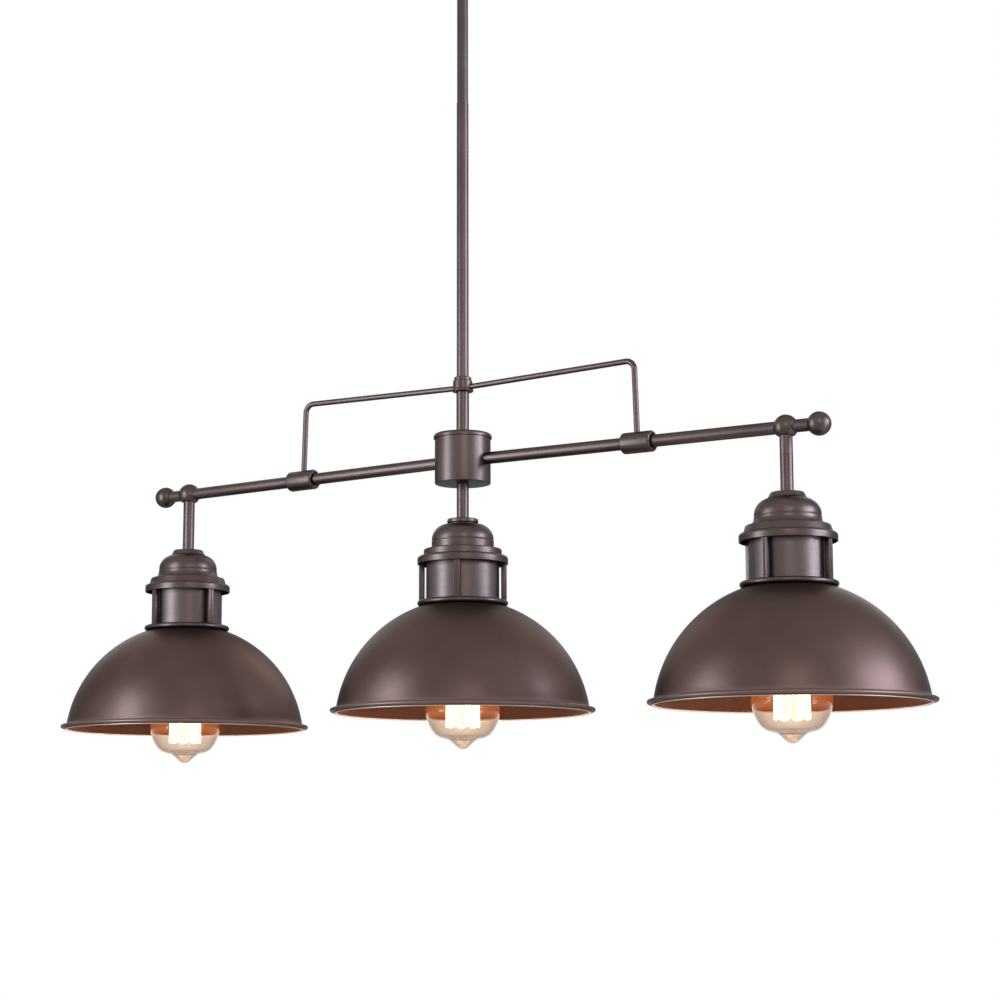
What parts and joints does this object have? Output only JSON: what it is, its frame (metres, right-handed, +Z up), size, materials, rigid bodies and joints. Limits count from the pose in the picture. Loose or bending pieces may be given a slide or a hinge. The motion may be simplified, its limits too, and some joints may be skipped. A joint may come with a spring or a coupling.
{
  "type": "island chandelier",
  "caption": "Linear island light: domed bronze shades hang in a row from a braced arm under a jointed downrod with swivel and round ceiling canopy.",
  "frame": {"origin": "the ceiling plane at the canopy's centre, above the middle of the arm", "axes": "+X along the arm, +Y across it, +Z up; the fixture hangs towards -Z"},
  "size_m": [0.8522, 0.2286, 0.8894],
  "materials": {
    "bronze": "satin oil-rubbed bronze",
    "shade_bronze": "satin oil-rubbed bronze, spun",
    "brushed_bronze": "brushed oil-rubbed bronze",
    "rod_bronze": "satin oil-rubbed bronze",
    "zinc": "zinc plated",
    "brass": "plain",
    "phenolic": "moulded black",
    "cable": "black insulation",
    "connector": "moulded yellow",
    "amber_glass": "clear amber",
    "filament_glass": "glass stem with a glowing filament"
  },
  "bodies": {
    "ceiling_plate": {"canopy": "bronze", "mounting_bar": "zinc", "canopy_screws": "bronze", "canopy_nipple": "zinc", "feed_cable": "cable", "wire_connectors": "connector"},
    "swivel": {"swivel_yoke": "bronze", "swivel_screws": "bronze"},
    "fixture": {"swivel_barrel": "bronze", "upper_rod": "rod_bronze", "lower_rod": "bronze", "brace_collar": "bronze", "stem_tube": "bronze", "hub_shell": "bronze", "hub_lid": "bronze", "left_arm": "bronze", "right_arm": "bronze", "left_brace": "bronze", "right_brace": "bronze", "arm_sleeves": "bronze", "arm_tees": "bronze", "arm_finials": "bronze", "rod_nuts": "zinc", "lamp_wires": "cable", "left_drop_rod": "bronze", "center_drop_rod": "bronze", "right_drop_rod": "bronze"},
    "left_lamp": {"left_neck": "bronze", "left_cap": "bronze", "left_cup": "brushed_bronze", "left_posts": "bronze", "left_gallery": "bronze", "left_shade": "shade_bronze", "left_socket": "phenolic", "left_socket_shell": "brass"},
    "left_bulb": {"left_bulb_base": "brass", "left_bulb_glass": "amber_glass", "left_filament": "filament_glass"},
    "center_lamp": {"center_neck": "bronze", "center_cap": "bronze", "center_cup": "brushed_bronze", "center_posts": "bronze", "center_gallery": "bronze", "center_shade": "shade_bronze", "center_socket": "phenolic", "center_socket_shell": "brass"},
    "center_bulb": {"center_bulb_base": "brass", "center_bulb_glass": "amber_glass", "center_filament": "filament_glass"},
    "right_lamp": {"right_neck": "bronze", "right_cap": "bronze", "right_cup": "brushed_bronze", "right_posts": "bronze", "right_gallery": "bronze", "right_shade": "shade_bronze", "right_socket": "phenolic", "right_socket_shell": "brass"},
    "right_bulb": {"right_bulb_base": "brass", "right_bulb_glass": "amber_glass", "right_filament": "filament_glass"}
  },
  "joints": [
    {"name": "swivel_turn", "type": "hinge", "parent": "ceiling_plate", "child": "swivel", "pos_m": [0, 0, -0.0293], "axis": [0, 0, 1], "range_deg": [-170, 170]},
    {"name": "swivel_tilt", "type": "hinge", "parent": "swivel", "child": "fixture", "pos_m": [0, 0, -0.0418], "axis": [1, 0, 0], "range_deg": [-45, 45]},
    {"name": "left_lamp_turn", "type": "hinge", "parent": "fixture", "child": "left_lamp", "pos_m": [-0.3118, 0, -0.6945], "axis": [0, 0, 1], "range_deg": [-175, 175]},
    {"name": "left_bulb_out", "type": "slide", "parent": "left_lamp", "child": "left_bulb", "axis": [0, 0, -1], "range_m": [0, 0.12]},
    {"name": "center_lamp_turn", "type": "hinge", "parent": "fixture", "child": "center_lamp", "pos_m": [0, 0, -0.6903], "axis": [0, 0, 1], "range_deg": [-175, 175]},
    {"name": "center_bulb_out", "type": "slide", "parent": "center_lamp", "child": "center_bulb", "axis": [0, 0, -1], "range_m": [0, 0.12]},
    {"name": "right_lamp_turn", "type": "hinge", "parent": "fixture", "child": "right_lamp", "pos_m": [0.3118, 0, -0.6945], "axis": [0, 0, 1], "range_deg": [-175, 175]},
    {"name": "right_bulb_out", "type": "slide", "parent": "right_lamp", "child": "right_bulb", "axis": [0, 0, -1], "range_m": [0, 0.12]}
  ]
}
